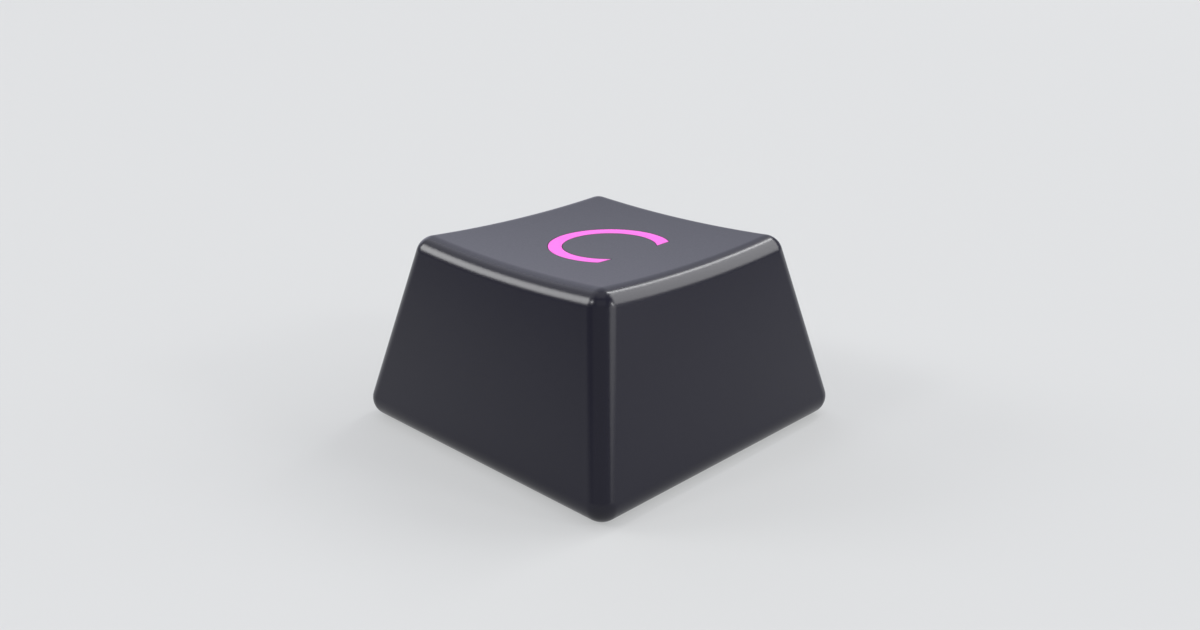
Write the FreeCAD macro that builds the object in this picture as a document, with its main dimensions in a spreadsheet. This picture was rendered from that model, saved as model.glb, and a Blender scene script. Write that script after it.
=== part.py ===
import FreeCAD, Part
import math
import os
import Sketcher

# Keycap for a one-unit key: a drafted, dished shell with a cross socket below and an inlaid letter above.
# Millimetres and degrees. Origin at the middle of the foot, +Z up, the letter reads along +X, front side -Y.

SIZES = [
    # Outer form
    ("base_width", 18.0, "foot along X, over the roundings"),
    ("base_depth", 18.0, "foot along Y, over the roundings"),
    ("side_draft", 13.8, "lean of the four sides, degrees from upright"),
    ("dish_height", 9.6, "lowest point of the dish above the foot"),
    ("dish_radius", 80.0, "radius of the sphere that hollows the top"),
    ("blank_spare", 1.5, "stock above the dish's lowest point before the dish is cut"),
    ("edge_round", 1.0, "rounding shared by every outer edge"),
    # Hollow underside
    ("rim_flat", 0.35, "width of the flat rim that the cap stands on"),
    ("hollow_draft", 11.0, "lean of the inner walls, degrees from upright"),
    ("hollow_height", 7.6, "underside of the roof above the foot"),
    ("hollow_round", 0.6, "rounding of the hollow's inner edges"),
    # Post, socket and ribs
    ("post_diameter", 5.5, "outside of the round post"),
    ("post_recess", 0.8, "post's lower end above the foot"),
    ("root_overlap", 0.3, "how far the post and ribs run up into the roof"),
    ("socket_length", 4.1, "each arm of the cross socket, end to end"),
    ("socket_width", 1.25, "width of each arm of the cross socket"),
    ("socket_depth", 3.9, "depth of the cross socket"),
    ("socket_lead", 0.2, "lead-in chamfer at the post's lower end"),
    ("rib_thickness", 0.9, "thickness of each rib"),
    ("rib_drop", 2.2, "how far the ribs hang below the roof"),
    ("rib_cover", 0.5, "wall left between a rib's end and the outer skin, level with the roof"),
    # Inlaid letter
    ("letter_radius", 3.15, "outer radius of the letter's open ring"),
    ("letter_stroke", 0.7, "stroke of the open ring"),
    ("letter_width", 4.9, "letter along X, from its back to its cut ends"),
    ("letter_depth", 0.8, "flat floor of the letter's seat below the dish's lowest point"),
    ("letter_clearance", 0.02, "gap between the letter's sides and its seat"),
]

# Lengths that follow from the sizes above, written once and shared by the features.
# A rounding between the foot and a leaning side starts this far in from the sharp corner.
RIM_SETBACK = "spec.edge_round / tan((90 - spec.side_draft) / 2)"
# The sides are drawn to their sharp corners, which stand a little outside the rounded foot.
SHARP_WIDTH = "spec.base_width + 2 * (" + RIM_SETBACK + " - spec.edge_round)"
SHARP_DEPTH = "spec.base_depth + 2 * (" + RIM_SETBACK + " - spec.edge_round)"
# The hollow's mouth starts inside the foot's rounding and the rim, and its walls close in up to the roof.
MOUTH_INSET = "(spec.edge_round + spec.rim_flat)"
ROOF_INSET = "(" + MOUTH_INSET + " + spec.hollow_height * tan(spec.hollow_draft))"
RIB_MARGIN = "2 * (spec.hollow_height * tan(spec.side_draft) + spec.rib_cover)"
RIB_FOOT = "spec.hollow_height - spec.rib_drop"
LETTER_FLOOR = "spec.dish_height - spec.letter_depth"
LETTER_RISE = "spec.letter_depth + spec.blank_spare"
# Turns a primitive about X, so that its own Y points up.
QUARTER_TURN = FreeCAD.Rotation(FreeCAD.Vector(1, 0, 0), 90)


def add_sizes(document):
    """Puts every driving size in a spreadsheet, one named cell per row."""
    sheet = document.addObject("Spreadsheet::Sheet", "spec")
    for row, (name, value, note) in enumerate(SIZES, start=1):
        sheet.set("A%d" % row, name)
        sheet.set("B%d" % row, str(value))
        sheet.set("C%d" % row, note)
        sheet.setAlias("B%d" % row, name)
    document.recompute()
    return sheet


def attach_level(feature, body, height):
    """Lays a feature on the body's own XY plane, raised to a height given as an expression."""
    planes = [p for p in body.Origin.OriginFeatures if p.Role == "XY_Plane"]
    feature.AttachmentSupport = [(planes[0], "")]
    feature.MapMode = "FlatFace"
    if height:
        feature.setExpression("AttachmentOffset.Base.z", height)


def new_sketch(body, name, height):
    """Adds an empty level sketch to the body."""
    sketch = body.newObject("Sketcher::SketchObject", name)
    attach_level(sketch, body, height)
    return sketch


def bind(sketch, constraint, name, expression):
    """Adds a named dimension to a sketch and ties it to an expression."""
    index = sketch.addConstraint(constraint)
    sketch.renameConstraint(index, name)
    sketch.setExpression("Constraints." + name, expression)


def rectangle_sketch(body, name, along_x, along_y, height=None):
    """Draws a rectangle centred on the Z axis, with its two sides tied to expressions."""
    sketch = new_sketch(body, name, height)
    corners = [(-1, -1), (1, -1), (1, 1), (-1, 1)]
    points = [FreeCAD.Vector(x, y, 0) for x, y in corners]
    for index in range(4):
        sketch.addGeometry(Part.LineSegment(points[index], points[(index + 1) % 4]), False)
    for index in range(4):
        sketch.addConstraint(Sketcher.Constraint("Coincident", index, 2, (index + 1) % 4, 1))
    for index in (0, 2):
        sketch.addConstraint(Sketcher.Constraint("Horizontal", index))
    for index in (1, 3):
        sketch.addConstraint(Sketcher.Constraint("Vertical", index))
    sketch.addConstraint(Sketcher.Constraint("Symmetric", 0, 1, 2, 1, -1, 1))
    bind(sketch, Sketcher.Constraint("DistanceX", 0, 1, 0, 2, 2.0), "along_x", along_x)
    bind(sketch, Sketcher.Constraint("DistanceY", 1, 1, 1, 2, 2.0), "along_y", along_y)
    return sketch


def circle_sketch(body, name, diameter, height=None):
    """Draws a circle on the Z axis with its diameter tied to an expression."""
    sketch = new_sketch(body, name, height)
    sketch.addGeometry(Part.Circle(FreeCAD.Vector(0, 0, 0), FreeCAD.Vector(0, 0, 1), 1.0), False)
    sketch.addConstraint(Sketcher.Constraint("Coincident", 0, 3, -1, 1))
    bind(sketch, Sketcher.Constraint("Diameter", 0, 2.0), "diameter", diameter)
    return sketch


def letter_sketch(body, name, sheet, grow):
    """Draws the open ring of the letter, grown all round by an expression.

    Two concentric arcs make the stroke, and both ends are cut along Y at the same X.
    The letter's width is centred on the Z axis, so the ring's centre sits right of it.
    """
    sketch = new_sketch(body, name, LETTER_FLOOR)
    cut = float(sheet.letter_width) / 2
    outer_radius = float(sheet.letter_radius)
    inner_radius = outer_radius - float(sheet.letter_stroke)
    centre = FreeCAD.Vector(outer_radius - cut, 0, 0)

    def arc(radius):
        half_opening = math.acos((cut - centre.x) / radius)
        circle = Part.Circle(centre, FreeCAD.Vector(0, 0, 1), radius)
        return Part.ArcOfCircle(circle, half_opening, 2 * math.pi - half_opening)

    def end(side):
        outer_tip = side * math.sqrt(outer_radius ** 2 - (cut - centre.x) ** 2)
        inner_tip = side * math.sqrt(inner_radius ** 2 - (cut - centre.x) ** 2)
        return Part.LineSegment(FreeCAD.Vector(cut, outer_tip, 0), FreeCAD.Vector(cut, inner_tip, 0))

    outer = sketch.addGeometry(arc(outer_radius), False)
    inner = sketch.addGeometry(arc(inner_radius), False)
    upper = sketch.addGeometry(end(1), False)
    lower = sketch.addGeometry(end(-1), False)
    sketch.addConstraint(Sketcher.Constraint("Coincident", outer, 3, inner, 3))
    sketch.addConstraint(Sketcher.Constraint("Coincident", outer, 1, upper, 1))
    sketch.addConstraint(Sketcher.Constraint("Coincident", inner, 1, upper, 2))
    sketch.addConstraint(Sketcher.Constraint("Coincident", outer, 2, lower, 1))
    sketch.addConstraint(Sketcher.Constraint("Coincident", inner, 2, lower, 2))
    sketch.addConstraint(Sketcher.Constraint("PointOnObject", outer, 3, -1))
    sketch.addConstraint(Sketcher.Constraint("Vertical", upper))
    sketch.addConstraint(Sketcher.Constraint("Vertical", lower))
    bind(sketch, Sketcher.Constraint("DistanceX", -1, 1, outer, 3, centre.x), "ring_centre",
         "spec.letter_radius - spec.letter_width / 2")
    bind(sketch, Sketcher.Constraint("Radius", outer, outer_radius), "outer_radius",
         "spec.letter_radius + " + grow)
    bind(sketch, Sketcher.Constraint("Radius", inner, inner_radius), "inner_radius",
         "spec.letter_radius - spec.letter_stroke - " + grow)
    for line, side in ((upper, "upper_cut"), (lower, "lower_cut")):
        bind(sketch, Sketcher.Constraint("DistanceX", -1, 1, line, 1, cut), side,
             "spec.letter_width / 2 + " + grow)
    return sketch


def add_pad(body, name, sketch, length):
    """Raises a sketch into the body."""
    pad = body.newObject("PartDesign::Pad", name)
    pad.Profile = sketch
    pad.setExpression("Length", length)
    sketch.Visibility = False
    return pad


def add_pocket(body, name, sketch, length):
    """Cuts a sketch upwards into the body."""
    pocket = body.newObject("PartDesign::Pocket", name)
    pocket.Profile = sketch
    pocket.Reversed = True
    pocket.setExpression("Length", length)
    sketch.Visibility = False
    return pocket


def add_draft(body, name, feature, angle):
    """Leans every upright face of a feature towards the Z axis as it rises from the XY plane."""
    feature.Document.recompute()
    upright = []
    for index, face in enumerate(feature.Shape.Faces, start=1):
        if isinstance(face.Surface, Part.Plane) and abs(face.Surface.Axis.z) < 1e-6:
            upright.append("Face%d" % index)
    planes = [p for p in body.Origin.OriginFeatures if p.Role == "XY_Plane"]
    draft = body.newObject("PartDesign::Draft", name)
    draft.Base = (feature, upright)
    draft.NeutralPlane = (planes[0], [""])
    draft.setExpression("Angle", angle)
    return draft


def cut_hollow(body, name):
    """Cuts the drafted hollow as a wedge stood on end, mouth at the foot and small end at the roof."""
    wedge = body.newObject("PartDesign::SubtractiveWedge", name)
    attach_level(wedge, body, None)
    wedge.AttachmentOffset = FreeCAD.Placement(FreeCAD.Vector(), QUARTER_TURN)
    for side, size in (("X", "spec.base_width"), ("Z", "spec.base_depth")):
        mouth = "(%s / 2 - %s)" % (size, MOUTH_INSET)
        roof = "(%s / 2 - %s)" % (size, ROOF_INSET)
        wedge.setExpression(side + "min", "-" + mouth)
        wedge.setExpression(side + "max", mouth)
        wedge.setExpression(side + "2min", "-" + roof)
        wedge.setExpression(side + "2max", roof)
    wedge.Ymin = 0
    wedge.setExpression("Ymax", "spec.hollow_height")
    return wedge


def cut_dish(body, name):
    """Cuts the spherical dish. The sphere lies on its side, so its seam and poles stay clear of the top."""
    sphere = body.newObject("PartDesign::SubtractiveSphere", name)
    sphere.setExpression("Radius", "spec.dish_radius")
    attach_level(sphere, body, None)
    sphere.AttachmentOffset = FreeCAD.Placement(FreeCAD.Vector(), QUARTER_TURN)
    sphere.setExpression("AttachmentOffset.Base.z", "spec.dish_height + spec.dish_radius")
    return sphere


def edge_names(feature, wanted):
    """Names the edges of a finished feature that pass a test."""
    feature.Document.recompute()
    names = []
    for index, edge in enumerate(feature.Shape.Edges, start=1):
        if wanted(edge):
            names.append("Edge%d" % index)
    if not names:
        raise RuntimeError("no edges found on " + feature.Name)
    return names


def build_cap(document, sheet):
    """Models the one-piece shell: blank, dish, roundings, hollow, post, ribs, socket and letter seat."""
    body = document.addObject("PartDesign::Body", "cap")
    body.Label = "cap"

    foot = rectangle_sketch(body, "Foot", SHARP_WIDTH, SHARP_DEPTH)
    blank = add_pad(body, "Blank", foot, "spec.dish_height + spec.blank_spare")
    add_draft(body, "SideDraft", blank, "spec.side_draft")
    dish = cut_dish(body, "Dish")
    outer_round = body.newObject("PartDesign::Fillet", "OuterRound")
    outer_round.Base = (dish, edge_names(dish, lambda edge: True))
    outer_round.setExpression("Radius", "spec.edge_round")

    hollow = cut_hollow(body, "Hollow")
    roof = float(sheet.hollow_height)
    reach = max(float(sheet.base_width), float(sheet.base_depth)) / 2

    def inside_hollow(edge):
        box = edge.BoundBox
        inner_upright = box.ZMin < 0.001 and abs(box.ZMax - roof) < 0.001
        roof_edge = box.ZLength < 0.001 and abs(box.ZMin - roof) < 0.001
        return (inner_upright or roof_edge) and max(abs(box.XMax), abs(box.YMax)) < reach

    hollow_round = body.newObject("PartDesign::Fillet", "HollowRound")
    hollow_round.Base = (hollow, edge_names(hollow, inside_hollow))
    hollow_round.setExpression("Radius", "spec.hollow_round")

    post = circle_sketch(body, "PostCircle", "spec.post_diameter", "spec.post_recess")
    add_pad(body, "Post", post, "spec.hollow_height - spec.post_recess + spec.root_overlap")
    rib_length = SHARP_WIDTH + " - " + RIB_MARGIN
    rib_depth = SHARP_DEPTH + " - " + RIB_MARGIN
    rib_x = rectangle_sketch(body, "RibAlongX", rib_length, "spec.rib_thickness", RIB_FOOT)
    add_pad(body, "RibX", rib_x, "spec.rib_drop + spec.root_overlap")
    rib_y = rectangle_sketch(body, "RibAlongY", "spec.rib_thickness", rib_depth, RIB_FOOT)
    add_pad(body, "RibY", rib_y, "spec.rib_drop + spec.root_overlap")

    mouth = "spec.post_recess"
    slot_x = rectangle_sketch(body, "SlotAlongX", "spec.socket_length", "spec.socket_width", mouth)
    add_pocket(body, "SocketX", slot_x, "spec.socket_depth")
    slot_y = rectangle_sketch(body, "SlotAlongY", "spec.socket_width", "spec.socket_length", mouth)
    socket = add_pocket(body, "SocketY", slot_y, "spec.socket_depth")
    post_end = float(sheet.post_recess)

    def at_post_end(edge):
        box = edge.BoundBox
        return box.ZLength < 0.001 and abs(box.ZMin - post_end) < 0.001

    lead = body.newObject("PartDesign::Chamfer", "SocketLead")
    lead.Base = (socket, edge_names(socket, at_post_end))
    lead.setExpression("Size", "spec.socket_lead")

    seat = letter_sketch(body, "LetterSeat", sheet, "spec.letter_clearance")
    body.Tip = add_pocket(body, "Seat", seat, LETTER_RISE)
    document.recompute()
    return body


def build_legend(document, sheet):
    """Models the inlaid letter: the open ring raised from its seat and cut flush by the same dish."""
    body = document.addObject("PartDesign::Body", "legend")
    body.Label = "legend"
    ring = letter_sketch(body, "Ring", sheet, "0")
    add_pad(body, "Inlay", ring, LETTER_RISE)
    body.Tip = cut_dish(body, "LetterDish")
    document.recompute()
    return body


def check(document):
    """Stops before writing if any feature failed or any body isn't one valid solid."""
    for item in document.Objects:
        if "Invalid" in item.State or "Error" in item.State:
            raise RuntimeError(item.Name + " did not compute: " + item.getStatusString())
        shape = getattr(item, "Shape", None)
        if item.isDerivedFrom("PartDesign::Feature") and (shape.isNull() or not shape.isValid()):
            raise RuntimeError(item.Name + " has no valid shape")
    for body in (item for item in document.Objects if item.isDerivedFrom("PartDesign::Body")):
        if len(body.Shape.Solids) != 1:
            raise RuntimeError(body.Name + " is not one solid")


def main():
    document = FreeCAD.newDocument("keycap")
    sheet = add_sizes(document)
    bodies = [build_cap(document, sheet), build_legend(document, sheet)]
    check(document)
    os.makedirs("parts", exist_ok=True)
    for body in bodies:
        body.Placement = FreeCAD.Placement()
        body.Shape.exportStep("parts/%s.step" % body.Label)
        box = body.Shape.BoundBox
        print(body.Label, "volume %.2f" % body.Shape.Volume, "faces", len(body.Shape.Faces), box)


main()
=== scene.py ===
import math

import bpy
import numpy as np
from mathutils import Matrix, Vector


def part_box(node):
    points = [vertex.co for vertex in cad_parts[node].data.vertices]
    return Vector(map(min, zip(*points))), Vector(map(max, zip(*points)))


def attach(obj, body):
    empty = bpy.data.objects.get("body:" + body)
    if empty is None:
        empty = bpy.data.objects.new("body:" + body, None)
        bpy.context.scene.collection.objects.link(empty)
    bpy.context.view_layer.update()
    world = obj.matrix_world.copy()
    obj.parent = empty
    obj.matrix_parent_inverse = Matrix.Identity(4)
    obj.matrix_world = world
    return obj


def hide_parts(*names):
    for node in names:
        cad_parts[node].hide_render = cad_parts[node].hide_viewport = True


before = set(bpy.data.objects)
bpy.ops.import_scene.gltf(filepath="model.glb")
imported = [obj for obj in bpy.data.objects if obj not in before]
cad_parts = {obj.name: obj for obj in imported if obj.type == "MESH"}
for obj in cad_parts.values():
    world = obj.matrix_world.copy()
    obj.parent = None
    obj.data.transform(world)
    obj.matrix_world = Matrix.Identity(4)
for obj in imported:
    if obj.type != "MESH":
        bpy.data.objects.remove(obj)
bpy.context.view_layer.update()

bl_info = {
    "name": "Dished keycap",
    "version": (1, 0, 0),
    "blender": (4, 5, 0),
    "location": "View3D > Sidebar > Keycap",
    "description": "Dresses the packed keycap with smooth moulded skins, its plastics and a studio stage",
    "category": "Add Mesh",
}

# The imported solids give the foot and the letter. Their boxes set the default sizes of both.
CAP_LOW, CAP_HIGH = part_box("cap")
LETTER_LOW, LETTER_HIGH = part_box("legend")

MM = 0.001
UP = np.array([0.0, 0.0, 1.0])
# Points that fall in one cell of a grid this fine are one point of the mesh. The grid is shifted by a share
# of a cell, so that round measures fall well inside its cells.
MERGE_DISTANCE = 1e-4 * MM
MERGE_SHIFT = 0.37
# The photograph's width in pixels, in which the camera's focal length is measured.
PHOTO_WIDTH = 1200
SENSOR_WIDTH = 36.0


def linear(hex_colour):
    """Turns an sRGB hex colour into linear red, green, blue and alpha.

    A channel c becomes c / 12.92 up to 0.04045, and ((c + 0.055) / 1.055)^2.4 above it.
    """
    coded = np.array([int(hex_colour[start:start + 2], 16) for start in (1, 3, 5)]) / 255
    curve = np.where(coded <= 0.04045, coded / 12.92, ((coded + 0.055) / 1.055) ** 2.4)
    return (*curve.tolist(), 1.0)


# Settings

def length(title, text, millimetres):
    """A length setting, given in millimetres and kept in metres."""
    return bpy.props.FloatProperty(
        name=title, description=text, default=millimetres * MM, min=0.0, precision=6, unit="LENGTH")


def angle(title, text, degrees):
    """An angle setting, given in degrees and kept in radians."""
    return bpy.props.FloatProperty(
        name=title, description=text, default=math.radians(degrees), subtype="ANGLE")


def factor(title, text, value):
    """A setting between 0 and 1."""
    return bpy.props.FloatProperty(
        name=title, description=text, default=value, min=0.0, max=1.0, subtype="FACTOR")


def colour(title, text, hex_colour):
    """A colour setting, given as an sRGB hex value and kept linear."""
    return bpy.props.FloatVectorProperty(
        name=title, description=text, default=linear(hex_colour), size=4, min=0.0, max=1.0, subtype="COLOR")


class KeycapShellSettings(bpy.types.PropertyGroup):
    """Sizes of the moulded shell."""
    foot_width: length("Foot width", "Square foot over its roundings", (CAP_HIGH.x - CAP_LOW.x) / MM)
    side_draft: angle("Side draft", "Lean of the four sides from upright", 13.8)
    edge_round: length("Edge rounding", "Radius on every outer edge", 1.0)
    dish_height: length("Dish height", "Lowest point of the dish above the foot", 9.6)
    dish_radius: length("Dish radius", "Radius of the sphere that hollows the top", 80.0)
    rim_flat: length("Rim", "Width of the flat rim that the cap stands on", 0.35)
    hollow_draft: angle("Hollow draft", "Lean of the inner walls from upright", 11.0)
    hollow_height: length("Hollow height", "Underside of the roof above the foot", 7.6)
    hollow_round: length("Hollow rounding", "Radius on the hollow's inner edges", 0.6)


class KeycapPostSettings(bpy.types.PropertyGroup):
    """Sizes of the post, its socket and the ribs."""
    diameter: length("Post diameter", "Outside of the round post", 5.5)
    recess: length("Recess", "Post's lower end above the foot", 0.8)
    root: length("Root", "How far the post and ribs run up into the roof", 0.3)
    socket_length: length("Socket length", "Each arm of the cross, end to end", 4.1)
    socket_width: length("Socket width", "Width of each arm of the cross", 1.25)
    socket_depth: length("Socket depth", "Depth of the cross", 3.9)
    lead: length("Lead-in", "Chamfer at the post's lower end", 0.2)
    rib_thickness: length("Rib thickness", "Thickness of each rib", 0.9)
    rib_drop: length("Rib drop", "How far the ribs hang below the roof", 2.2)
    rib_round: length("Rib rounding", "Radius along the lower edges of the ribs", 0.15)
    rib_cover: length("Rib cover", "Wall left between a rib's end and the outer skin", 0.5)


class KeycapLetterSettings(bpy.types.PropertyGroup):
    """Sizes of the inlaid letter."""
    radius: length("Radius", "Outer radius of the open ring", (LETTER_HIGH.y - LETTER_LOW.y) / 2 / MM)
    stroke: length("Stroke", "Width of the ring's stroke", 0.7)
    width: length("Width", "From the letter's back to its cut ends", (LETTER_HIGH.x - LETTER_LOW.x) / MM)
    floor: length("Floor", "Height of the flat floor under the letter", LETTER_LOW.z / MM)
    gap: length("Parting gap", "Fine line between the letter and the cap", 0.035)


class KeycapFinishSettings(bpy.types.PropertyGroup):
    """Colours, gloss and grain of the two plastics."""
    cap_colour: colour("Cap", "Charcoal of the cap", "#161524")
    cap_shade: colour("Cap shade", "Slightly deeper charcoal in the cap's flow marks", "#141321")
    cap_shine: factor("Cap shine", "Share of light that the cap mirrors, as a specular level", 0.34)
    cap_marks: length("Cap marks", "Width of the flow marks in the cap", 4.0)
    letter_colour: colour("Letter", "Pink of the letter", "#F267D2")
    letter_shade: colour("Letter shade", "Slightly deeper pink in the letter", "#ED61CD")
    letter_shine: factor("Letter shine", "Share of light that the letter mirrors, as a specular level", 0.12)
    letter_marks: length("Letter marks", "Width of the flow marks in the letter", 1.5)
    side_roughness: factor("Side roughness", "Roughness of the sides and edges", 0.24)
    dish_roughness: factor("Dish roughness", "Roughness of the dish and the letter in it", 0.45)
    grain: length("Grain", "Spacing of the mould's eroded grain", 0.09)
    grain_depth: length("Grain depth", "Depth of the mould's eroded grain", 0.0015)


class KeycapStageSettings(bpy.types.PropertyGroup):
    """Camera, floor and light."""
    azimuth: angle("Azimuth", "Camera's turn round the cap from its front", 44.5)
    elevation: angle("Elevation", "Camera's height above the horizon", 19.8)
    distance: length("Distance", "From the camera to the point it looks at", 57.0)
    target_side: bpy.props.FloatProperty(
        name="Target side", description="Point looked at, along X", default=0.03 * MM, unit="LENGTH")
    target_height: length("Target height", "Point looked at, above the foot", 5.68)
    focal_pixels: bpy.props.FloatProperty(
        name="Focal length", description="In pixels of the photograph's frame", default=1075.0,
        subtype="PIXEL")
    floor_colour: colour("Floor", "Pale floor", "#D3D4D4")
    floor_lit: factor("Lit share", "Share of the floor's tone that comes from the lights", 0.4)
    floor_radius: length("Floor radius", "Half the width of the floor", 2500.0)


# Meshes

class Skin:
    """Gathers grids of points with their true normals and joins them into one mesh.

    A grid is rows by columns of points. Neighbouring points make four-sided faces, turned to agree with
    the normals. Points that coincide are merged, so seams close, and a row that shrinks to one point
    becomes a pole with three-sided faces.
    """

    def __init__(self):
        self.points = []
        self.normals = []
        self.faces = []
        self.total = 0

    def add(self, points, normals, closed=False):
        """Adds a grid. A closed one also joins its last column to its first."""
        rows, columns = points.shape[:2]
        index = self.total + np.arange(rows * columns).reshape(rows, columns)
        if closed:
            index = np.concatenate([index, index[:, :1]], axis=1)
        corners = [index[:-1, :-1], index[:-1, 1:], index[1:, 1:], index[1:, :-1]]
        self.faces.append(np.stack(corners, axis=-1).reshape(-1, 4))
        self.points.append(points.reshape(-1, 3))
        self.normals.append(np.broadcast_to(normals, points.shape).reshape(-1, 3))
        self.total += rows * columns

    def build(self, name):
        """Makes the mesh and an object at the origin that holds it."""
        points = np.concatenate(self.points)
        normals = np.concatenate(self.normals)
        faces = np.concatenate(self.faces)
        first, second, third, fourth = (points[faces[:, corner]] for corner in range(4))
        outward = np.cross(third - first, fourth - second)
        turned = np.einsum("ij,ij->i", outward, normals[faces].sum(axis=1)) < 0
        faces[turned] = faces[turned][:, ::-1]
        keys = np.floor(points / MERGE_DISTANCE + MERGE_SHIFT).astype(np.int64)
        _, kept, merged = np.unique(keys, axis=0, return_index=True, return_inverse=True)
        merged = merged.reshape(-1)
        repeats = merged[faces] == merged[np.roll(faces, -1, axis=1)]
        whole = faces[repeats.sum(axis=1) == 0]
        pinched = repeats.sum(axis=1) == 1
        triangles = faces[pinched][~repeats[pinched]].reshape(-1, 3)
        mesh = bpy.data.meshes.new(name)
        mesh.from_pydata(points[kept], [], merged[whole].tolist() + merged[triangles].tolist())
        mesh.polygons.foreach_set("use_smooth", np.ones(len(mesh.polygons), dtype=bool))
        loops = np.concatenate([whole.reshape(-1), triangles.reshape(-1)])
        mesh.normals_split_custom_set(normals[loops].tolist())
        if mesh.validate():
            raise RuntimeError(name + " has faces that Blender had to mend")
        piece = bpy.data.objects.new(name, mesh)
        bpy.context.scene.collection.objects.link(piece)
        return piece


def place(piece, node, slot, material):
    """Gives a piece its material and its place in the frame."""
    piece.data.materials.append(material)
    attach(piece, "root")
    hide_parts(node)


def great_arc(start, end, steps):
    """Unit vectors that swing from start to end in equal angles, one row per step.

    Each row is start times sin((1 - f) a) plus end times sin(f a), over sin(a), where a is the angle
    between the two vectors and f goes from 0 to 1.
    """
    share = np.linspace(0, 1, steps + 1)[:, None, None]
    swing = np.arccos(np.clip((start * end).sum(axis=-1, keepdims=True), -1, 1))
    return (np.sin((1 - share) * swing) * start + np.sin(share * swing) * end) / np.sin(swing)


def quarter_turn(vectors):
    """Turns points or normals a quarter round the Z axis: x, y and z become -y, x and z."""
    x, y, z = np.moveaxis(vectors, -1, 0)
    return np.stack([-y, x, z], axis=-1)


def four_sides(side):
    """Repeats one side and its corner round the Z axis, a quarter turn at a time."""
    turns = [side]
    for _ in range(3):
        turns.append(quarter_turn(turns[-1]))
    return np.concatenate(turns, axis=1)


def side_columns(side_steps, corner_steps):
    """Columns of the +X side and the corner after it.

    along is the share of the half side, from -1 to 1, and stays 1 on the corner. swing is 0 on the side
    and goes to 1 round the corner.
    """
    along = np.concatenate([np.linspace(-1, 1, side_steps, endpoint=False), np.ones(corner_steps)])
    swing = np.concatenate([np.zeros(side_steps), np.linspace(0, 1, corner_steps, endpoint=False)])
    return along, swing


def leaning_normals(swing, draft):
    """Normals of a side that leans in by the draft, swung along a great arc to the next side."""
    side = np.array([math.cos(draft), 0, math.sin(draft)])
    following = np.array([0, math.cos(draft), math.sin(draft)])
    full = math.acos(side @ following)
    weights = np.sin(np.outer([1, 0], full) + np.outer([-1, 1], swing * full)) / math.sin(full)
    return weights[0][:, None] * side + weights[1][:, None] * following


# Shell

# Steps of the mesh along a side, round a corner, over a rounding and up a wall.
SIDE_STEPS = 56
CORNER_STEPS = 20
ROUND_STEPS = 18
WALL_STEPS = 10


def core_width(shell, height):
    """Half width, at a height, of the core that a ball of the edge rounding rolls over."""
    rise = height - shell.edge_round
    return shell.foot_width / 2 - shell.edge_round - rise * math.tan(shell.side_draft)


def core_top(shell, along):
    """Points on the core's upper edge, where its sides meet the dish set back by the rounding.

    On the line that keeps a share s of the half side, the width is w - z tan(draft), so the height solves
    (1 + s^2) (w - z tan)^2 + (c - z)^2 = (R + r)^2, where c is the height of the dish's centre.
    """
    lean = math.tan(shell.side_draft)
    base = core_width(shell, 0)
    centre = shell.dish_height + shell.dish_radius
    spread = 1 + along ** 2
    square = 1 + spread * lean ** 2
    half = spread * base * lean + centre
    rest = spread * base ** 2 + centre ** 2 - (shell.dish_radius + shell.edge_round) ** 2
    height = (half - np.sqrt(half ** 2 - square * rest)) / square
    width = core_width(shell, height)
    return np.stack([width, along * width, height], axis=-1)


def dish_normals(shell, points):
    """Unit vectors from points towards the centre of the dish's sphere."""
    towards = np.array([0, 0, shell.dish_height + shell.dish_radius]) - points
    return towards / np.linalg.norm(towards, axis=-1, keepdims=True)


def on_dish(shell, plan):
    """Raises plan points to the dish: its centre's height less the root of R^2 - x^2 - y^2."""
    drop = np.sqrt(shell.dish_radius ** 2 - (plan ** 2).sum(axis=-1))
    height = shell.dish_height + shell.dish_radius - drop
    return np.concatenate([plan, height[..., None]], axis=-1)


def outer_skin(skin, shell):
    """Adds the rounded foot, the leaning sides and the rounded upper edge.

    A ball rolls over an inset core: each point is a core point plus the radius times a normal. The normal
    swings from straight down to the side's over the foot, keeps the side's up the wall, and swings on to
    the dish's over the upper edge. Round a corner the core point stays and the normal turns.
    """
    along, swing = side_columns(SIDE_STEPS, CORNER_STEPS)
    side = leaning_normals(swing, shell.side_draft)
    foot = core_width(shell, shell.edge_round)
    low = np.stack([np.full_like(along, foot), along * foot, np.full_like(along, shell.edge_round)], axis=-1)
    high = core_top(shell, along)
    climb = np.linspace(0, 1, WALL_STEPS + 1)[:, None, None]
    bands = [
        (low, great_arc(-UP, side, ROUND_STEPS)),
        (low + climb * (high - low), side),
        (high, great_arc(side, dish_normals(shell, high), ROUND_STEPS)),
    ]
    for core, normals in bands:
        points = core + shell.edge_round * normals
        skin.add(four_sides(points), four_sides(np.broadcast_to(normals, points.shape)), closed=True)


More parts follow.
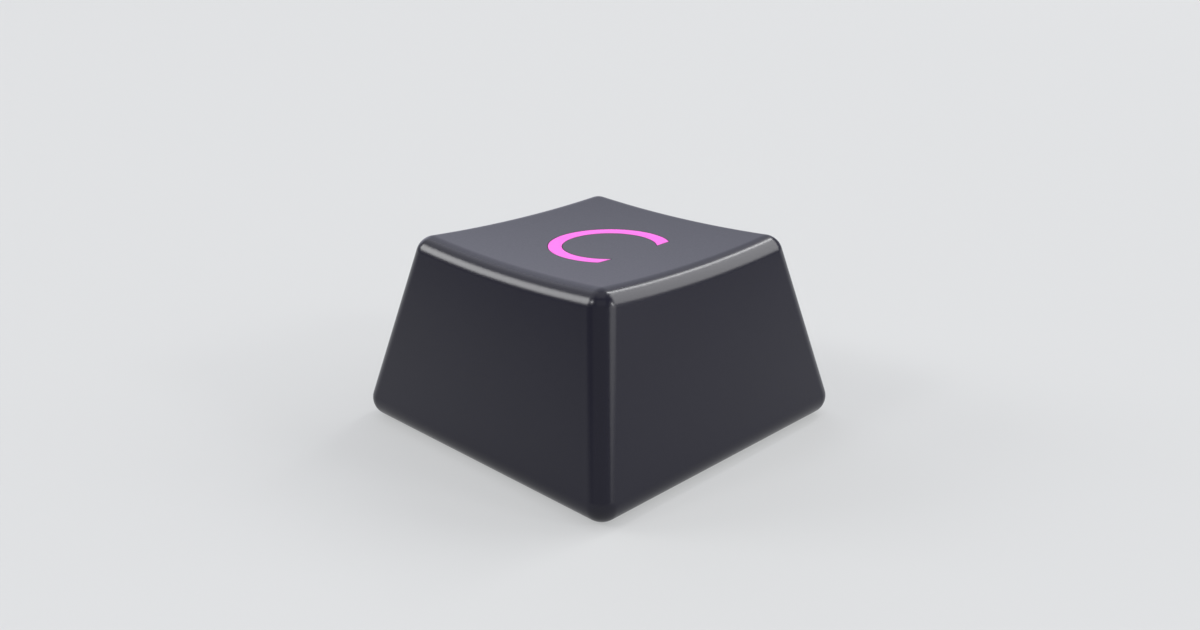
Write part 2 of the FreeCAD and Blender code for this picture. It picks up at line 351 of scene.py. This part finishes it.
def hollow_skin(skin, shell):
    """Adds the rim, the hollow's walls, its rounded roof edge and the flat roof.

    The walls are made as the outer skin is, by a smaller ball inside the hollow, with the normals turned
    to face into it. Each column starts where its own line crosses the foot's plane.
    """
    along, swing = side_columns(SIDE_STEPS, CORNER_STEPS)
    wall = leaning_normals(swing, shell.hollow_draft)
    ball = shell.hollow_round
    mouth = shell.foot_width / 2 - shell.edge_round - shell.rim_flat
    inset = mouth - ball / math.cos(shell.hollow_draft)

    def core(height):
        width = inset - height * math.tan(shell.hollow_draft)
        return np.stack([width, along * width, height], axis=-1)

    low = core(-ball * wall[:, 2])
    high = core(np.full_like(along, shell.hollow_height - ball))
    climb = np.linspace(0, 1, WALL_STEPS + 1)[:, None, None]
    walls = low + climb * (high - low) + ball * wall
    skin.add(four_sides(walls), -four_sides(np.broadcast_to(wall, walls.shape)), closed=True)
    bend = great_arc(wall, UP, ROUND_STEPS // 2)
    edge = high + ball * bend
    skin.add(four_sides(edge), -four_sides(np.broadcast_to(bend, edge.shape)), closed=True)

    foot = core_width(shell, shell.edge_round)
    outer = np.stack([np.full_like(along, foot), along * foot, np.zeros_like(along)], axis=-1)
    skin.add(four_sides(np.stack([walls[0], outer])), -UP, closed=True)

    reach = np.linspace(1, 0, WALL_STEPS + 1)[:, None, None]
    centre = np.array([0, 0, shell.hollow_height])
    roof = centre + reach * (edge[-1][:SIDE_STEPS] - centre)
    skin.add(four_sides(roof), -UP, closed=True)


# Letter

# Steps of the mesh along the letter, across its stroke and down its walls, and on the dish in and round it.
ARC_STEPS = 220
STROKE_STEPS = 8
SEAT_STEPS = 2
INNER_DISH_STEPS = 16
OUTER_DISH_STEPS = 28


def letter_edges(letter, grow, share):
    """Plan points on the two edges of the letter's stroke, grown all round.

    share goes from 0 at the upper end, round the back, to 1 at the lower end. Each edge is an arc about the
    ring's centre that starts and stops where it meets the cut, a line along Y.
    """
    centre = letter.radius - letter.width / 2
    cut = letter.width / 2 + grow
    edges = []
    for radius in (letter.radius - letter.stroke - grow, letter.radius + grow):
        opening = math.acos((cut - centre) / radius)
        turn = opening + share * (2 * math.pi - 2 * opening)
        edges.append(np.stack([centre + radius * np.cos(turn), radius * np.sin(turn)], axis=-1))
    return edges


def between(start, end, steps):
    """Rows of points that go in equal steps from one line of points to another."""
    share = np.linspace(0, 1, steps + 1)[:, None, None]
    return start + share * (end - start)


def outward_along(line):
    """Level unit vectors square to a line of points, to the right of its direction."""
    step = np.gradient(line[:, :2], axis=0)
    step /= np.linalg.norm(step, axis=-1, keepdims=True)
    return np.stack([step[:, 1], -step[:, 0], np.zeros(len(step))], axis=-1)


def letter_stroke(shell, letter, grow, share):
    """The stroke's upper face on the dish: rows from its inner to its outer edge, columns along it."""
    inner, outer = letter_edges(letter, grow, share)
    return on_dish(shell, between(inner, outer, STROKE_STEPS))


def letter_walls(skin, stroke, floor, facing):
    """Adds the upright walls and the flat floor under a stroke.

    The walls drop straight from the stroke's border to the floor. facing is 1 for the letter itself, whose
    walls look away from its stroke and whose floor looks down, and -1 for the seat round it.
    """
    under = stroke.copy()
    under[..., 2] = floor
    cut = np.array([1.0, 0.0, 0.0])
    borders = [
        (stroke[0], under[0], -outward_along(stroke[0])),
        (stroke[-1], under[-1], outward_along(stroke[-1])),
        (stroke[:, 0], under[:, 0], cut),
        (stroke[:, -1], under[:, -1], cut),
    ]
    for line, low, normals in borders:
        skin.add(between(line, low, SEAT_STEPS), facing * normals)
    skin.add(under, -facing * UP)


def dish_skin(skin, shell, letter):
    """Adds the dish round, inside and through the opening of the letter, and the seat under the letter.

    Columns run from the ring's centre to the dish's edge, one to each point of the upper edge's rounding.
    They are shared out so that two of them follow the letter's cut ends, and every point is raised to the
    dish's sphere.
    """
    along = side_columns(SIDE_STEPS, 0)[0]
    edge = core_top(shell, along)
    border = four_sides((edge + shell.edge_round * dish_normals(shell, edge))[None])[0][:, :2]
    centre = np.array([letter.radius - letter.width / 2, 0.0])
    bearing = np.arctan2(border[:, 1], border[:, 0] - centre[0])
    tip = letter_edges(letter, letter.gap, np.array([0.0]))[1][0] - centre
    opening = math.atan2(tip[1], tip[0])
    upper = int(np.argmin(np.abs(bearing - opening)))
    lower = int(np.argmin(np.abs(bearing + opening)))
    border = np.roll(border, -upper, axis=0)
    bearing = np.unwrap(np.roll(bearing, -upper))
    back = (lower - upper) % len(border)
    share = (bearing[:back + 1] - bearing[0]) / (bearing[back] - bearing[0])
    inner, outer = letter_edges(letter, letter.gap, share)

    full = bearing[0] + 2 * math.pi
    across = (np.append(bearing[back:], full) - bearing[back]) / (full - bearing[back])
    bridge = []
    for line in (inner, outer):
        radius = np.linalg.norm(line[0] - centre)
        half = math.acos((line[0][0] - centre[0]) / radius)
        turn = -half + across * 2 * half
        bridge.append(centre + radius * np.stack([np.cos(turn), np.sin(turn)], axis=-1))
    ring = [np.concatenate([line[:-1], gap[:-1]]) for line, gap in zip((inner, outer), bridge)]

    def lay(plan, closed):
        points = on_dish(shell, plan)
        skin.add(points, dish_normals(shell, points), closed)

    lay(between(np.broadcast_to(centre, ring[0].shape), ring[0], INNER_DISH_STEPS), True)
    lay(between(bridge[0], bridge[1], STROKE_STEPS), False)
    lay(between(ring[1], border, OUTER_DISH_STEPS), True)
    letter_walls(skin, letter_stroke(shell, letter, letter.gap, share), letter.floor, -1)


# Materials

# Refractive index of ABS.
ABS_IOR = 1.53
# Noise of the flow marks and of the grain, and how strongly the grain shows as relief.
FLOW_NOISE = {"Detail": 3.0, "Roughness": 0.5}
GRAIN_NOISE = {"Detail": 2.0, "Roughness": 0.6}
GRAIN_STRENGTH = 0.5
# How far the grain raises and lowers the roughness.
SPECKLE = 0.05
# The dish leans less than the first from level, and the roundings beside it soon lean more than the second.
DISH_LEAN = math.radians(8)
EDGE_LEAN = math.radians(26)


def add_node(tree, kind, settings=None, values=None, links=None):
    """Adds a node, sets its own settings and its sockets' values, and links other nodes' outputs to it."""
    node = tree.nodes.new(kind)
    for name, value in (settings or {}).items():
        setattr(node, name, value)
    for name, value in (values or {}).items():
        node.inputs[name].default_value = value
    for name, (source, output) in (links or {}).items():
        tree.links.new(source.outputs[output], node.inputs[name])
    return node


def moulded_plastic(name, colours, shine, marks, finish):
    """A moulded plastic with flow marks in its colour and an eroded grain in its gloss and relief.

    The grain is noise with one bump per grain spacing, and the flow marks are noise some millimetres wide.
    A surface is as rough as the sides until it faces up, as the dish does, where it turns to a broader satin.
    """
    material = bpy.data.materials.new(name)
    material.use_nodes = True
    tree = material.node_tree
    tree.nodes.clear()
    coordinates = add_node(tree, "ShaderNodeTexCoord")
    flow = add_node(tree, "ShaderNodeTexNoise", values={"Scale": 1 / marks, **FLOW_NOISE},
                    links={"Vector": (coordinates, "Object")})
    # A colour mix has its two colours in inputs 6 and 7, and the mixed colour in output 2.
    tone = add_node(tree, "ShaderNodeMix", {"data_type": "RGBA"}, {6: colours[0], 7: colours[1]},
                    {0: (flow, "Fac")})
    grain = add_node(tree, "ShaderNodeTexNoise", values={"Scale": 1 / finish.grain, **GRAIN_NOISE},
                     links={"Vector": (coordinates, "Object")})
    surface = add_node(tree, "ShaderNodeNewGeometry")
    facing = add_node(tree, "ShaderNodeSeparateXYZ", links={"Vector": (surface, "Normal")})
    satin = add_node(tree, "ShaderNodeMapRange",
                     values={"From Min": math.cos(EDGE_LEAN), "From Max": math.cos(DISH_LEAN),
                             "To Min": finish.side_roughness, "To Max": finish.dish_roughness},
                     links={"Value": (facing, "Z")})
    speckle = add_node(tree, "ShaderNodeMapRange", values={"To Min": -SPECKLE, "To Max": SPECKLE},
                       links={"Value": (grain, "Fac")})
    gloss = add_node(tree, "ShaderNodeMath", {"operation": "ADD"},
                     links={0: (satin, "Result"), 1: (speckle, "Result")})
    relief = add_node(tree, "ShaderNodeBump",
                      values={"Strength": GRAIN_STRENGTH, "Distance": finish.grain_depth},
                      links={"Height": (grain, "Fac")})
    shader = add_node(tree, "ShaderNodeBsdfPrincipled", values={"IOR": ABS_IOR, "Specular IOR Level": shine},
                      links={"Base Color": (tone, 2), "Roughness": (gloss, 0), "Normal": (relief, "Normal")})
    add_node(tree, "ShaderNodeOutputMaterial", links={"Surface": (shader, "BSDF")})
    return material


def cap_plastic(finish):
    """Charcoal ABS from a finely eroded mould: dark, with soft light on its smooth edges and a satin dish."""
    name = "charcoal_abs_satin_moulded"
    colours = (tuple(finish.cap_colour), tuple(finish.cap_shade))
    found = bpy.data.materials.get(name)
    return found or moulded_plastic(name, colours, finish.cap_shine, finish.cap_marks, finish)


def letter_plastic(finish):
    """Pink ABS of the second shot: opaque, a clear even pink with the same satin as the dish round it."""
    colours = (tuple(finish.letter_colour), tuple(finish.letter_shade))
    return moulded_plastic("pink_abs_second_shot", colours, finish.letter_shine, finish.letter_marks, finish)


# Operators

# Steps of the mesh along each part of the cross, up the post, across its lower end, and to the middle of its
# upper end and of the socket's floor.
CROSS_STEPS = 6
POST_STEPS = 6
LIP_STEPS = 4
END_STEPS = 2
# Steps of the mesh along a rib and over its rounding.
RIB_STEPS = 3
RIB_ROUND_STEPS = 6
# Keeps a division by the sine or cosine of a bearing from failing where it is 0.
TINY = 1e-12


class KEYCAP_OT_shell(bpy.types.Operator):
    """Makes the moulded shell with its dish, seat, rim and hollow"""
    bl_idname = "keycap.shell"
    bl_label = "Shell"

    def execute(self, context):
        scene = context.scene
        skin = Skin()
        outer_skin(skin, scene.keycap_shell)
        dish_skin(skin, scene.keycap_shell, scene.keycap_letter)
        hollow_skin(skin, scene.keycap_shell)
        place(skin.build("cap_shell"), "cap", "cap_plastic", cap_plastic(scene.keycap_finish))
        return {"FINISHED"}


class KEYCAP_OT_letter(bpy.types.Operator):
    """Makes the inlaid letter, flush with the dish"""
    bl_idname = "keycap.letter"
    bl_label = "Letter"

    def execute(self, context):
        shell = context.scene.keycap_shell
        letter = context.scene.keycap_letter
        top = letter_stroke(shell, letter, 0.0, np.linspace(0, 1, ARC_STEPS + 1))
        skin = Skin()
        skin.add(top, dish_normals(shell, top))
        letter_walls(skin, top, letter.floor, 1)
        plastic = letter_plastic(context.scene.keycap_finish)
        place(skin.build("inlaid_letter"), "legend", "legend_plastic", plastic)
        return {"FINISHED"}


class KEYCAP_OT_post(bpy.types.Operator):
    """Makes the round post with its cross-shaped socket"""
    bl_idname = "keycap.post"
    bl_label = "Post and socket"

    def execute(self, context):
        shell = context.scene.keycap_shell
        post = context.scene.keycap_post
        skin = Skin()
        radius = post.diameter / 2
        arm = post.socket_length / 2
        half = post.socket_width / 2
        top = shell.hollow_height + post.root
        ledge = post.recess + post.lead
        floor = post.recess + post.socket_depth

        def cross(long, short, height):
            """Outline of a cross as a polar curve: the farther of its two bars along each bearing."""
            tip = math.atan2(short, long)
            stops = [0, tip, math.pi / 4, math.pi / 2 - tip]
            spans = zip(stops, stops[1:] + [math.pi / 2])
            bearing = np.concatenate([np.linspace(*span, CROSS_STEPS, endpoint=False) for span in spans])
            bearing = np.concatenate([bearing + turn * math.pi / 2 for turn in range(4)])
            cosine = np.abs(np.cos(bearing)) + TINY
            sine = np.abs(np.sin(bearing)) + TINY
            bar = np.minimum(long / cosine, short / sine)
            crossbar = np.minimum(short / cosine, long / sine)
            reach = np.maximum(bar, crossbar)
            plan = [reach * np.cos(bearing), reach * np.sin(bearing)]
            return np.stack([*plan, np.full_like(reach, height)], axis=-1)

        def ring(size, height):
            """Circle with a point on the bearing of each point of the cross."""
            plan = cross(arm, half, 0.0)[:, :2]
            plan = size * plan / np.linalg.norm(plan, axis=-1, keepdims=True)
            return np.concatenate([plan, np.full((len(plan), 1), height)], axis=-1)

        def flat_normals(low, high):
            """Normals of the facets between two outlines, one to each side, towards the socket's hollow."""
            square = np.cross(high - low, np.roll(low, -1, axis=0) - low)
            return square / np.linalg.norm(square, axis=-1, keepdims=True)

        def split(line):
            """Both ends of each side of an outline in turn, so that each facet keeps its own normals."""
            return np.stack([line, np.roll(line, -1, axis=0)], axis=1).reshape(-1, 3)

        away = ring(1.0, 0.0)
        skin.add(between(ring(radius, top), ring(radius, ledge), POST_STEPS), away, closed=True)
        slope = (away - UP) / math.sqrt(2)
        skin.add(between(ring(radius, ledge), ring(radius - post.lead, post.recess), 1), slope, closed=True)
        skin.add(between(ring(radius - post.lead, post.recess),
                         cross(arm + post.lead, half + post.lead, post.recess), LIP_STEPS), -UP, closed=True)
        strips = [
            (cross(arm + post.lead, half + post.lead, post.recess), cross(arm, half, ledge)),
            (cross(arm, half, ledge), cross(arm, half, floor)),
        ]
        for low, high in strips:
            skin.add(np.stack([split(low), split(high)]), np.repeat(flat_normals(low, high), 2, axis=0))
        for line, facing in ((cross(arm, half, floor), -UP), (ring(radius, top), UP)):
            middle = np.broadcast_to(line[0, 2] * UP, line.shape)
            skin.add(between(line, middle, END_STEPS), facing, closed=True)
        place(skin.build("stem_post"), "cap", "cap_plastic", cap_plastic(context.scene.keycap_finish))
        return {"FINISHED"}


class KEYCAP_OT_ribs(bpy.types.Operator):
    """Makes the ribs between the post and the walls, under the roof"""
    bl_idname = "keycap.ribs"
    bl_label = "Ribs"

    def execute(self, context):
        shell = context.scene.keycap_shell
        post = context.scene.keycap_post
        skin = Skin()
        half = post.rib_thickness / 2
        ball = post.rib_round
        low = shell.hollow_height - post.rib_drop
        top = shell.hollow_height + post.root
        # Unrounded, the foot would reach out by r / tan(45 degrees - draft / 2) - r more on each side.
        sharp = shell.edge_round / math.tan(math.pi / 4 - shell.side_draft / 2) - shell.edge_round
        skirt = shell.foot_width / 2 + sharp - shell.hollow_height * math.tan(shell.side_draft)
        stop = skirt - post.rib_cover
        start = post.diameter / 2 - post.root
        # The section goes down one side, round the two lower edges and up the other side.
        turn = np.linspace(0, math.pi / 2, RIB_ROUND_STEPS + 1)
        right = np.stack([half - ball + ball * np.cos(turn), low + ball - ball * np.sin(turn)], axis=-1)
        left = right[::-1] * np.array([-1, 1])
        section = np.concatenate([[[half, top]], right, left, [[-half, top]]])
        round_out = np.stack([np.cos(turn), -np.sin(turn)], axis=-1)
        out = np.concatenate([[[1, 0]], round_out, round_out[::-1] * np.array([-1, 1]), [[-1, 0]]])

        def at(distance, profile):
            return np.concatenate([np.full((len(profile), 1), distance), profile], axis=-1)

        sides = between(at(start, section), at(stop, section), RIB_STEPS)
        lid = sides[:, [0, -1]]
        patches = [(sides, at(0.0, out), False), (lid, UP, False)]
        for distance, way in ((start, -1.0), (stop, 1.0)):
            border = at(distance, section)
            middle = np.array([distance, 0, (low + top) / 2])
            end = between(border, np.broadcast_to(middle, border.shape), 1)
            patches.append((end, np.array([way, 0.0, 0.0]), True))
        for points, normals, closed in patches:
            normals = np.broadcast_to(normals, points.shape)
            for _ in range(4):
                skin.add(points, normals, closed)
                points, normals = quarter_turn(points), quarter_turn(normals)
        place(skin.build("roof_ribs"), "cap", "cap_plastic", cap_plastic(context.scene.keycap_finish))
        return {"FINISHED"}


# Middle of the glow in the sky, as a direction from the cap, and the cosine from there at which it ends.
GLOW_CENTRE = (-0.80, 0.50, 0.34)
GLOW_END = 0.78
# Strength of the sky at the middle of the glow and away from it, and its colour.
GLOW_TONE = 1.7
SKY_TONE = 0.34
SKY_COLOUR = "#EEF0FF"
# Points in each ring of the floor, and its rings.
FLOOR_COLUMNS = 96
FLOOR_RINGS = 8
# Metres from the cap to each soft box.
BOX_DISTANCE = 2.0
# Each soft box: its name, azimuth, elevation, angular width and height and roll in degrees, and brightness.
SOFT_BOXES = [
    ("left_box", -54.0, 27.0, 24.0, 20.0, 0.0, 8.6),
    ("left_fill", -78.0, 53.0, 44.0, 30.0, 0.0, 0.8),
    ("left_glint", -22.0, 39.0, 9.0, 9.0, 0.0, 20.0),
    ("back_strip", 184.0, 48.0, 7.0, 22.0, 0.0, 14.5),
    ("back_box", 151.0, 33.0, 42.0, 24.0, 50.0, 4.4),
    ("right_box", 110.5, 12.5, 40.0, 20.0, 0.0, 2.3),
    ("right_glint", 114.0, 27.0, 10.0, 9.0, 0.0, 22.0),
    ("front_fill", 42.0, 14.0, 84.0, 26.0, 0.0, 0.28),
    ("high_fill", 44.5, 46.0, 48.0, 32.0, 0.0, 0.45),
    ("top_box", 224.5, 86.0, 38.0, 40.0, 0.0, 0.7),
]


def looking_back(place, away):
    """Matrix of a camera or lamp at a place that looks back along the way it was moved out."""
    return Matrix.Translation(place) @ away.to_track_quat("Z", "Y").to_matrix().to_4x4()


def direction(azimuth, elevation):
    """Unit vector from the cap at an azimuth a from its front and an elevation e above the horizon.

    It is (cos e sin a, -cos e cos a, sin e).
    """
    level = math.cos(elevation)
    return Vector((level * math.sin(azimuth), -level * math.cos(azimuth), math.sin(elevation)))


class KEYCAP_OT_stage(bpy.types.Operator):
    """Makes the floor, the soft lights and the camera"""
    bl_idname = "keycap.stage"
    bl_label = "Stage"

    def execute(self, context):
        stage = context.scene.keycap_stage
        self.floor(stage)
        self.lights(context.scene)
        self.camera(context.scene, stage)
        context.scene.view_settings.view_transform = "Standard"
        return {"FINISHED"}

    def floor(self, stage):
        """A level disc in rings about the origin, of pale matt paper.

        Part of its tone is its own glow to the camera and to reflections, so the background stays even, and
        the rest is lit, so the cap's shadow stays.
        """
        turn = np.linspace(0, 2 * math.pi, FLOOR_COLUMNS, endpoint=False)
        circle = np.stack([np.cos(turn), np.sin(turn), np.zeros_like(turn)], axis=-1)
        reach = stage.floor_radius * np.linspace(0, 1, FLOOR_RINGS + 1)[:, None, None] ** 2
        skin = Skin()
        skin.add(reach * circle, UP, closed=True)
        floor = skin.build("pale_floor")
        material = bpy.data.materials.new("pale_matt_paper")
        material.use_nodes = True
        tree = material.node_tree
        tree.nodes.clear()
        lit = tuple(stage.floor_lit * channel for channel in stage.floor_colour[:3])
        glow = tuple((1 - stage.floor_lit) * channel for channel in stage.floor_colour[:3])
        ray = add_node(tree, "ShaderNodeLightPath")
        mirrored = add_node(tree, "ShaderNodeMath", {"operation": "MAXIMUM"},
                            links={0: (ray, "Is Glossy Ray"), 1: (ray, "Is Transmission Ray")})
        seen = add_node(tree, "ShaderNodeMath", {"operation": "MAXIMUM"},
                        links={0: (ray, "Is Camera Ray"), 1: (mirrored, 0)})
        paper = add_node(tree, "ShaderNodeBsdfDiffuse", values={"Color": (*lit, 1.0)})
        shine = add_node(tree, "ShaderNodeEmission", values={"Color": (*glow, 1.0)},
                         links={"Strength": (seen, 0)})
        both = add_node(tree, "ShaderNodeAddShader", links={0: (paper, 0), 1: (shine, 0)})
        add_node(tree, "ShaderNodeOutputMaterial", links={"Surface": (both, 0)})
        floor.data.materials.append(material)

    def lights(self, scene):
        """Soft boxes round the cap, each aimed at it, and a dim sky with a wide glow behind the cap.

        A box is 2 d tan(w / 2) wide, at a distance d and an angular width w, and as much for its height. Its
        power is pi times its brightness and its area.
        """
        for name, azimuth, elevation, width, height, roll, brightness in SOFT_BOXES:
            light = bpy.data.lights.new(name, "AREA")
            light.shape = "RECTANGLE"
            light.size = 2 * BOX_DISTANCE * math.tan(math.radians(width / 2))
            light.size_y = 2 * BOX_DISTANCE * math.tan(math.radians(height / 2))
            light.energy = brightness * math.pi * light.size * light.size_y
            away = direction(math.radians(azimuth), math.radians(elevation))
            lamp = bpy.data.objects.new(name, light)
            turn = Matrix.Rotation(math.radians(roll), 4, "Z")
            lamp.matrix_world = looking_back(BOX_DISTANCE * away, away) @ turn
            scene.collection.objects.link(lamp)
        world = bpy.data.worlds.new("glowing_sky")
        world.use_nodes = True
        tree = world.node_tree
        tree.nodes.clear()
        towards = add_node(tree, "ShaderNodeTexCoord")
        facing = add_node(tree, "ShaderNodeVectorMath", {"operation": "DOT_PRODUCT"}, {1: GLOW_CENTRE},
                          {0: (towards, "Generated")})
        glow = add_node(tree, "ShaderNodeMapRange",
                        values={"From Min": GLOW_END, "To Min": SKY_TONE, "To Max": GLOW_TONE},
                        links={"Value": (facing, "Value")})
        sky = add_node(tree, "ShaderNodeBackground", values={"Color": linear(SKY_COLOUR)},
                       links={"Strength": (glow, "Result")})
        add_node(tree, "ShaderNodeOutputWorld", links={"Surface": (sky, "Background")})
        scene.world = world

    def camera(self, scene, stage):
        """A camera at the photograph's angle, with its focal length from the photograph's frame."""
        lens = bpy.data.cameras.new("photo_camera")
        lens.sensor_width = SENSOR_WIDTH
        lens.sensor_fit = "HORIZONTAL"
        lens.lens = stage.focal_pixels * SENSOR_WIDTH / PHOTO_WIDTH
        lens.clip_start = 1 * MM
        away = direction(stage.azimuth, stage.elevation)
        target = Vector((stage.target_side, 0.0, stage.target_height))
        camera = bpy.data.objects.new("photo_camera", lens)
        camera.matrix_world = looking_back(target + stage.distance * away, away)
        scene.collection.objects.link(camera)
        scene.camera = camera


class KEYCAP_PT_panel(bpy.types.Panel):
    """Lists the keycap's pieces"""
    bl_label = "Keycap"
    bl_idname = "KEYCAP_PT_panel"
    bl_space_type = "VIEW_3D"
    bl_region_type = "UI"
    bl_category = "Keycap"

    def draw(self, context):
        for operator in OPERATORS:
            self.layout.operator(operator.bl_idname)


SETTINGS = {
    "keycap_shell": KeycapShellSettings,
    "keycap_post": KeycapPostSettings,
    "keycap_letter": KeycapLetterSettings,
    "keycap_finish": KeycapFinishSettings,
    "keycap_stage": KeycapStageSettings,
}
OPERATORS = [KEYCAP_OT_shell, KEYCAP_OT_letter, KEYCAP_OT_post, KEYCAP_OT_ribs, KEYCAP_OT_stage]


def register():
    """Adds the settings to the scene, and the operators and the panel to Blender."""
    for name, group in SETTINGS.items():
        bpy.utils.register_class(group)
        setattr(bpy.types.Scene, name, bpy.props.PointerProperty(type=group))
    for item in OPERATORS + [KEYCAP_PT_panel]:
        bpy.utils.register_class(item)


def unregister():
    """Takes away what register added, in the opposite order."""
    for item in reversed(OPERATORS + [KEYCAP_PT_panel]):
        bpy.utils.unregister_class(item)
    for name, group in reversed(SETTINGS.items()):
        delattr(bpy.types.Scene, name)
        bpy.utils.unregister_class(group)


def main():
    """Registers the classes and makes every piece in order."""
    register()
    bpy.ops.keycap.shell()
    bpy.ops.keycap.letter()
    bpy.ops.keycap.post()
    bpy.ops.keycap.ribs()
    bpy.ops.keycap.stage()


if __name__ == "__main__":
    main()
